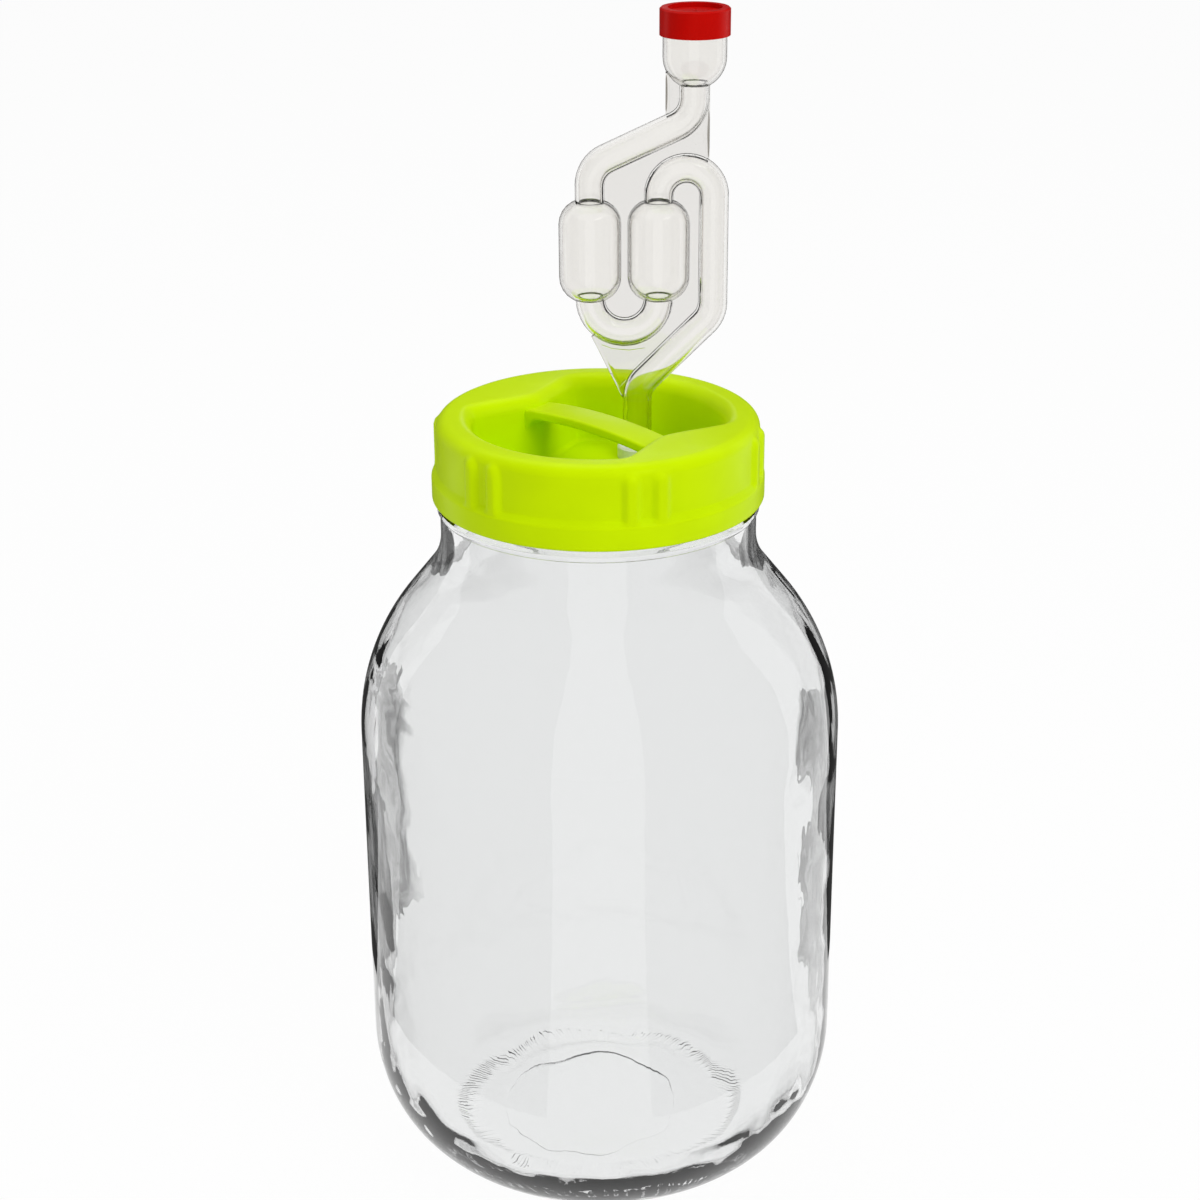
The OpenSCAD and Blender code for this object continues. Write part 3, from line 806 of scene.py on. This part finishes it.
def lid_rows(steps):
    """The lid's rows of points: up from the well's floor, over, down the skirt and back under."""
    rows = []
    turns = [TURN * i / steps for i in range(steps)]

    def plan(outline, z):
        rows.append([(p.x, p.y, z) for p in outline])

    def turned(r, z, ribs=False, thread=False):
        row = []
        for a in turns:
            at = r
            if ribs:
                at += max(RIB_R - r, 0) * rib_share(a, z)
            if thread:
                at -= inner_thread(a, z)
            row.append((at * math.cos(a), at * math.sin(a), z))
        rows.append(row)

    outline = well_outline(steps)
    foot = grown(outline, -WELL_DRAFT - WELL_FOOT)
    for share in (0.05, 0.3, 0.55, 0.8):
        plan([p * share for p in foot], WELL_FLOOR)
    for i in range(7):
        a = math.pi / 2 * i / 6
        plan(grown(outline, -WELL_DRAFT - WELL_FOOT * (1 - math.sin(a))),
             WELL_FLOOR + WELL_FOOT * (1 - math.cos(a)))
    wall_top = LID_H - WELL_FILLET_H
    for i in range(1, 6):
        z = WELL_FLOOR + WELL_FOOT + (wall_top - WELL_FLOOR - WELL_FOOT) * i / 5
        plan(grown(outline, -WELL_DRAFT * (1 - i / 5)), z)
    for i in range(1, 11):
        a = math.pi / 2 * i / 10
        plan(grown(outline, WELL_FILLET * (1 - math.cos(a))),
             wall_top + WELL_FILLET_H * math.sin(a))
    edge = grown(outline, WELL_FILLET)
    top_r = SKIRT_R - TOP_FILLET
    outer = [Vector((top_r * math.cos(a), top_r * math.sin(a))) for a in turns]
    for share in (0.35, 0.7):
        plan([a.lerp(b, share) for a, b in zip(edge, outer)], LID_H)
    for r, z in arc(top_r, LID_H - TOP_FILLET, TOP_FILLET, 90, 0, 12):
        turned(r, z, ribs=True)
    lean = math.degrees(math.atan2(LIP_BEVEL, LIP_R - SKIRT_R))
    bend = BEVEL_SOFT * math.tan(math.radians((90 - lean) / 2))
    upper, lower = LIP_H + LIP_BEVEL + bend, LIP_H - bend
    for i in range(1, 10):
        turned(SKIRT_R, LID_H - TOP_FILLET + (upper - LID_H + TOP_FILLET) * i / 10, ribs=True)
    for r, z in arc(SKIRT_R + BEVEL_SOFT, upper, BEVEL_SOFT, 180, 270 - lean, 5):
        turned(r, z, ribs=True)
    for r, z in arc(LIP_R - BEVEL_SOFT, lower, BEVEL_SOFT, 90 - lean, 0, 5):
        turned(r, z, ribs=True)
    turned(LIP_R, LIP_H / 2)
    e = SKIRT_EDGE
    for r, z in (arc(LIP_R - LIP_ROUND, LIP_ROUND, LIP_ROUND, 0, -90, 5)
                 + arc(SKIRT_IN_R + e, e, e, 270, 180, 2)):
        turned(r, z)
    under_top = LID_H - LID_T
    for i in range(1, 36):
        turned(SKIRT_IN_R, e + (under_top - e) * i / 36, thread=True)
    turned(SKIRT_IN_R, under_top)
    for i in range(5):
        z = under_top - (under_top - WELL_FLOOR + LID_T) * i / 4
        plan(grown(outline, LID_T - WELL_DRAFT * i / 4), z)
    last = grown(outline, LID_T - WELL_DRAFT)
    for share in (0.6, 0.1):
        plan([p * share for p in last], WELL_FLOOR - LID_T)
    return rows


def lid_shell(name, steps):
    """The lid's closed shell, spun as an even drum whose points then go to their places."""
    rows = lid_rows(steps)
    last = len(rows) + 1
    drum = [(0, 0)] + [(1, ROW * k) for k in range(1, last)] + [(0, ROW * last)]
    obj = lathe(name, drum, steps, closed=False)
    poles = {0: WELL_FLOOR, last: WELL_FLOOR - LID_T}
    for vert in obj.data.vertices:
        k = round(vert.co.z / ROW)
        if k in poles:
            vert.co = (0, 0, LID_LOW.z + poles[k])
            continue
        i = round(math.atan2(vert.co.y, vert.co.x) / TURN * steps) % steps
        x, y, z = rows[k - 1][i]
        vert.co = (x, y, LID_LOW.z + z)
    outward(obj)
    return obj


def strap_drop(u):
    """How far the handle's underside comes down in the rounded corner to its root."""
    over = min(max(abs(u) - (STRAP_HALF - MM - GAP_CORNER), 0), GAP_CORNER)
    return GAP_CORNER - math.sqrt(GAP_CORNER ** 2 - over ** 2)


def handle_bar(name):
    """The arched bar of the handle, with rounded edges and a faint gate line across it."""
    start_clean()
    bpy.ops.mesh.primitive_cube_add(size=1)
    obj = named(bpy.context.object, name)
    obj.scale = (2 * STRAP_HALF, STRAP_W, STRAP_T)
    settle()
    bpy.ops.object.mode_set(mode="EDIT")
    bpy.ops.mesh.bevel(offset=STRAP_EDGE, segments=4, affect="EDGES")
    select_edges(obj, lambda a, b: abs(a.x - b.x) > STRAP_HALF)
    bpy.ops.mesh.subdivide(number_cuts=STRAP_CUTS)
    bpy.ops.object.mode_set(mode="OBJECT")
    for vert in obj.data.vertices:
        u, v, w = vert.co
        share = (w + STRAP_T / 2) / STRAP_T
        top = LID_H - STRAP_DROP - STRAP_ARCH * (u / STRAP_HALF) ** 2
        gate = GATE_H * math.exp(-((u - GATE_AT) / GATE_W) ** 2) * step(share, 0.6, 1)
        gate *= step(v, -1.5 * MM, 0)
        vert.co.z = LID_LOW.z + top + (share - 1) * STRAP_T - strap_drop(u) * (1 - share) + gate
    obj.rotation_euler.z = math.radians(STRAP_A)
    settle()
    outward(obj)
    return obj


def combine(obj, other, operation):
    """Joins the other shape to the piece, or cuts it out."""
    take(obj)
    cut = obj.modifiers.new("Combine", "BOOLEAN")
    cut.operation = operation
    cut.solver = "MANIFOLD"
    cut.object = other
    before = len(obj.data.polygons)
    bpy.ops.object.modifier_apply(modifier=cut.name)
    if len(obj.data.polygons) < before / 2:
        raise RuntimeError("the shapes of " + obj.name + " did not combine")
    bpy.data.objects.remove(other, do_unlink=True)


class FERMENT_OT_lid(Operator):
    """Screw lid with its sunk well, arched handle, soft pairs of ribs and inner thread"""
    bl_idname = "ferment.lid"
    bl_label = "Lid"

    def execute(self, context):
        sizes = context.scene.ferment_lid
        obj = lid_shell("screw_lid", sizes.steps)
        combine(obj, handle_bar("handle"), "UNION")
        start_clean()
        bpy.ops.mesh.primitive_cylinder_add(
            vertices=96, radius=HOLE_R, depth=20 * MM, location=(*STEM, LID_LOW.z + WELL_FLOOR))
        combine(obj, context.object, "DIFFERENCE")
        smooth(obj, 32)
        lime = plastic_material("Lid plastic", sizes.colour, sizes.gloss,
                                shade=0.97, roughness=0.36, grain=0.03 * MM)
        dress(obj, lime, "lid", "lid")
        return {"FINISHED"}


class FERMENT_OT_grommet(Operator):
    """Rubber grommet that holds the airlock in the lid"""
    bl_idname = "ferment.grommet"
    bl_label = "Grommet"

    def execute(self, context):
        obj = merged_copy("grommet", "stem_grommet", 32)
        rubber = plastic_material("Grommet rubber", context.scene.ferment_airlock.rubber, WHITE,
                                  shade=0.95, roughness=0.45, grain=0.02 * MM)
        dress(obj, rubber, "grommet", "grommet")
        return {"FINISHED"}


# Marks on the airlock's web, as (x, z) in mm: beads along its free edges, fine lines and
# pin circles with their radius

LINE_R = 0.28 * MM
PIN_LINE_R = 0.14 * MM
EDGE_BEAD = 0.78 * MM
WEB_BEADS = (
    ((22.98, 373.5), (22.98, 360.2)),
    ((35.6, 362.6), (35.6, 345.2)),
    ((-1.2, 287.2), (8.9, 266.2)),
)
WEB_LINES = (
    ((1.4, 284.0), (5.0, 282.6)),
    ((5.0, 282.6), (10.6, 282.1)),
    ((10.6, 282.1), (15.9, 282.8)),
    ((4.6, 274.2), (7.4, 269.8)),
    ((7.4, 269.8), (9.4, 272.0)),
)
PAINTED_WEB_SHADE = (  # middle and half sizes of the painted shade along the web's edges, in metres
    ((0.02245, STEM[1], 0.3668), (0.0005, 0.002, 0.0068)),
    ((0.03605, STEM[1], 0.3538), (0.0005, 0.002, 0.0088)),
)
CAP_GLOSS = (1.0, 0.35, 0.25)
PIN_CIRCLES = (((25.9, 366.8), 1.9), ((32.8, 352.1), 1.9))


def rod(a, b, r, y):
    """A round rod from a to b, points of the web in mm."""
    start_clean()
    (ax, az), (bx, bz) = a, b
    bpy.ops.mesh.primitive_cylinder_add(
        vertices=20, radius=r, depth=math.hypot(bx - ax, bz - az) * MM,
        location=((ax + bx) / 2 * MM, y, (az + bz) / 2 * MM),
        rotation=(0, math.atan2(bx - ax, bz - az), 0))
    return bpy.context.object


def mark_web(obj):
    """Adds the edge beads, the fine lines and the pin circles to the web."""
    y = STEM[1]
    face = y - WEB_HALF
    for a, b in WEB_BEADS:
        combine(obj, rod(a, b, EDGE_BEAD, y), "UNION")
    for a, b in WEB_LINES:
        combine(obj, rod(a, b, LINE_R, face), "UNION")
    for (x, z), r in PIN_CIRCLES:
        start_clean()
        bpy.ops.mesh.primitive_torus_add(
            location=(x * MM, face, z * MM), rotation=(math.pi / 2, 0, 0), major_radius=r * MM,
            minor_radius=PIN_LINE_R, major_segments=48, minor_segments=10)
        combine(obj, bpy.context.object, "UNION")


class FERMENT_OT_airlock(Operator):
    """Clear airlock with two bulbs, a cup and bent tubes on a flat web with beaded edges"""
    bl_idname = "ferment.airlock"
    bl_label = "Airlock"

    def execute(self, context):
        look = context.scene.ferment_airlock
        obj = merged_copy("airlock", "twin_bulb_airlock", 40)
        mark_web(obj)
        smooth(obj, 40)
        clear = clear_material(
            "Clear plastic", look.tint, look.edge, roughness=0.06, edge_from=0.35, wave=0.08 * MM,
            wave_size=60.0, places=PAINTED_WEB_SHADE, ragged_by=0.1, reach_by=0.9,
            web=(STEM[1], look.web))
        dress(obj, clear, "airlock", "airlock")
        return {"FINISHED"}


class FERMENT_OT_cap(Operator):
    """Cap on the airlock's cup, with a vent hole in its sunk top"""
    bl_idname = "ferment.cap"
    bl_label = "Cap"

    def execute(self, context):
        obj = merged_copy("airlock_cap", "dust_cap", 32)
        red = plastic_material("Cap plastic", context.scene.ferment_airlock.cap, CAP_GLOSS,
                               shade=0.94, roughness=0.3, grain=0.02 * MM)
        dress(obj, red, "airlock_cap", "airlock_cap")
        return {"FINISHED"}


# The stage

CAMERA_AT = (-1.25 * MM, -740 * MM, 513 * MM)
CAMERA_DOWN = 22.77
CAMERA_ROLL = -0.39
IMAGE = 1200
FOCAL_PX = 2396
CENTRE_PX = 595.1
SENSOR = 36
FLOOR_R = 9
FLOOR_WHITE = 0.95  # share of plain white in the floor as the camera and the glass see it
FLOOR_INNER = 0.42  # how far in the screens' strip of floor comes
LAMP_AIM = (0, 0, 0.2)
PANEL_AIM = (0, 0, 0.25)
LAMPS = (  # name, place, size and the setting that holds the power
    ("key_light", (0.95, -1.1, 1.25), (0.8, 1.0), "key_power"),
    ("fill_light", (-1.35, -0.7, 0.8), (0.9, 1.1), "fill_power"),
    ("top_light", (-0.1, 0.5, 1.7), (1.2, 1.2), "top_power"),
)
DARK_SCREENS = (  # name, first and last direction in degrees from the front, and level
    ("left_screen", -100, -21, 0.12),
    ("right_screen", 19, 88, 0.2),
    ("back_left_screen", -177, -122, 0.06),
    ("back_right_screen", 128, 177, 0.06),
)
BRIGHT_PANELS = (  # name, place, size and level
    ("key_panel", (0.75, -0.85, 1.0), (0.6, 0.7), 2.6),
    ("top_panel", (-0.1, 0.35, 1.4), (0.9, 0.7), 1.8),
)


def turn_to(place, aim):
    """The turn of a lamp or panel at this place that faces the aim."""
    return (Vector(aim) - Vector(place)).to_track_quat("-Z", "Y").to_euler()


def area_light(name, place, size, power):
    """A soft lamp that lights the object and is never seen."""
    start_clean()
    bpy.ops.object.light_add(type="AREA", location=place)
    lamp = named(bpy.context.object, name)
    lamp.data.shape = "RECTANGLE"
    lamp.data.size, lamp.data.size_y = size
    lamp.data.energy = power
    lamp.rotation_euler = turn_to(place, LAMP_AIM)
    lamp.visible_camera = lamp.visible_glossy = lamp.visible_transmission = False
    return lamp


def reflected_only(obj, name, level):
    """A screen that only reflections show, giving glass and plastic a room to mirror."""
    named(obj, name)
    made, n = material(name)
    glow = n.add("Emission", {"Color": colour4(WHITE), "Strength": level}).outputs[0]
    n.add("OutputMaterial", {"Surface": glow})
    obj.data.materials.clear()
    obj.data.materials.append(made)
    obj.visible_camera = obj.visible_diffuse = False
    obj.visible_shadow = obj.visible_transmission = False
    return obj


def dark_screen(name, radius, height, first, last, level):
    """An upright curved screen from one direction to another, with a strip of floor."""
    start_clean()
    bpy.ops.mesh.primitive_cylinder_add(
        vertices=180, radius=radius, depth=height, end_fill_type="NOTHING",
        location=(0, 0, height / 2 + MM))
    obj = bpy.context.object
    settle()
    bpy.ops.object.mode_set(mode="EDIT")
    bm = bmesh.from_edit_mesh(obj.data)
    bpy.ops.mesh.select_mode(type="FACE")
    bpy.ops.mesh.select_all(action="DESELECT")
    for face in bm.faces:
        at = face.calc_center_median()
        if not first < math.degrees(math.atan2(at.x, -at.y)) < last:
            face.select_set(True)
    bmesh.update_edit_mesh(obj.data)
    bpy.ops.mesh.delete(type="FACE")
    select_edges(obj, lambda a, b: max(a.z, b.z) < 2 * MM)
    bpy.ops.mesh.extrude_edges_move()
    bpy.ops.transform.resize(value=(FLOOR_INNER, FLOOR_INNER, 1), center_override=(0, 0, 0))
    bpy.ops.object.mode_set(mode="OBJECT")
    return reflected_only(obj, name, level)


def bright_panel(name, place, size, level):
    """A bright flat panel that gives the pieces their highlights."""
    start_clean()
    turn = turn_to(place, PANEL_AIM)
    bpy.ops.mesh.primitive_plane_add(size=1, location=place, rotation=turn)
    obj = bpy.context.object
    obj.scale = (*size, 1)
    settle()
    return reflected_only(obj, name, level)


def seen_rays(n):
    """1 for rays from the camera, a reflection or clear glass, and 0 for light on the object."""
    path = n.add("LightPath").outputs
    seen = n.math("MAXIMUM", path["Is Camera Ray"], path["Is Glossy Ray"])
    return n.math("MAXIMUM", seen, path["Is Transmission Ray"])


class FERMENT_OT_stage(Operator):
    """Pale floor, soft lights and the camera"""
    bl_idname = "ferment.stage"
    bl_label = "Stage"

    def execute(self, context):
        scene = context.scene
        sizes = scene.ferment_stage
        start_clean()
        bpy.ops.object.camera_add(location=CAMERA_AT)
        camera = named(context.object, "photo_camera")
        turned = (Matrix.Rotation(math.radians(90 - CAMERA_DOWN), 3, "X")
                  @ Matrix.Rotation(math.radians(CAMERA_ROLL), 3, "Z"))
        camera.rotation_euler = turned.to_euler()
        camera.data.sensor_width = SENSOR
        camera.data.lens = SENSOR * FOCAL_PX / IMAGE
        camera.data.shift_x = (IMAGE / 2 - CENTRE_PX) / IMAGE
        scene.camera = camera

        start_clean()
        bpy.ops.mesh.primitive_circle_add(vertices=64, radius=FLOOR_R, fill_type="NGON")
        floor = named(context.object, "floor")
        floor.data.materials.append(self.floor_material())
        for name, place, size, power in LAMPS:
            area_light(name, place, size, getattr(sizes, power))
        for name, first, last, level in DARK_SCREENS:
            dark_screen(name, sizes.screen_r, sizes.screen_h, first, last, level)
        for name, place, size, level in BRIGHT_PANELS:
            bright_panel(name, place, size, level)
        self.world(scene, sizes.sky)
        scene.view_settings.view_transform = "Standard"
        return {"FINISHED"}

    def floor_material(self):
        """Pale paint that looks white to the camera and the glass and keeps the shadow."""
        made, n = material("Pale floor")
        mask = flow(n, 6.0, 0.1)[1]
        paint = n.mix(mask, (0.86, 0.86, 0.86, 1), (0.84, 0.84, 0.84, 1))
        plain = n.add("BsdfDiffuse", {"Color": paint}).outputs[0]
        white = n.add("Emission", {"Color": colour4(WHITE), "Strength": 1.0}).outputs[0]
        share = n.math("MULTIPLY", seen_rays(n), FLOOR_WHITE)
        mixed = n.add("MixShader", {0: share, 1: plain, 2: white}).outputs[0]
        n.add("OutputMaterial", {"Surface": mixed})
        return made

    def world(self, scene, level):
        """A room that lights softly from all round and looks white."""
        world = bpy.data.worlds.new("Studio")
        world.use_nodes = True
        scene.world = world
        n = Nodes(world.node_tree)
        room = n.add("Background", {"Color": colour4(WHITE), "Strength": level}).outputs[0]
        white = n.add("Background", {"Color": colour4(WHITE), "Strength": 1.0}).outputs[0]
        mixed = n.add("MixShader", {0: seen_rays(n), 1: room, 2: white}).outputs[0]
        n.add("OutputWorld", {"Surface": mixed})


class FERMENT_PT_panel(Panel):
    """Lists the jar's pieces and their sizes"""
    bl_label = "Fermentation jar"
    bl_idname = "FERMENT_PT_panel"
    bl_space_type = "VIEW_3D"
    bl_region_type = "UI"
    bl_category = "Jar"

    def draw(self, context):
        for key, steps in SIDEBAR:
            settings = getattr(context.scene, key)
            for name in settings.bl_rna.properties.keys():
                if name not in ("rna_type", "name"):
                    self.layout.prop(settings, name)
            for step_id in steps:
                self.layout.operator(step_id)


SIDEBAR = (
    ("ferment_stage", ("ferment.stage",)),
    ("ferment_jar", ("ferment.jar", "ferment.seal")),
    ("ferment_lid", ("ferment.lid",)),
    ("ferment_airlock", ("ferment.grommet", "ferment.airlock", "ferment.cap")),
)
SETTINGS = {
    "ferment_stage": StageSettings,
    "ferment_jar": JarSettings,
    "ferment_lid": LidSettings,
    "ferment_airlock": AirlockSettings,
}
CLASSES = (FERMENT_OT_stage, FERMENT_OT_jar, FERMENT_OT_seal, FERMENT_OT_lid,
           FERMENT_OT_grommet, FERMENT_OT_airlock, FERMENT_OT_cap, FERMENT_PT_panel)


def register():
    """Adds the settings, the operators and the panel."""
    for key, settings in SETTINGS.items():
        bpy.utils.register_class(settings)
        setattr(bpy.types.Scene, key, PointerProperty(type=settings))
    for made in CLASSES:
        bpy.utils.register_class(made)


def unregister():
    """Takes them away again."""
    for made in reversed(CLASSES):
        bpy.utils.unregister_class(made)
    for key, settings in SETTINGS.items():
        delattr(bpy.types.Scene, key)
        bpy.utils.unregister_class(settings)


def main():
    """Builds the stage and every piece."""
    register()
    bpy.ops.ferment.stage()
    bpy.ops.ferment.jar()
    bpy.ops.ferment.seal()
    bpy.ops.ferment.lid()
    bpy.ops.ferment.grommet()
    bpy.ops.ferment.airlock()
    bpy.ops.ferment.cap()
    start_clean()


if __name__ == "__main__":
    main()
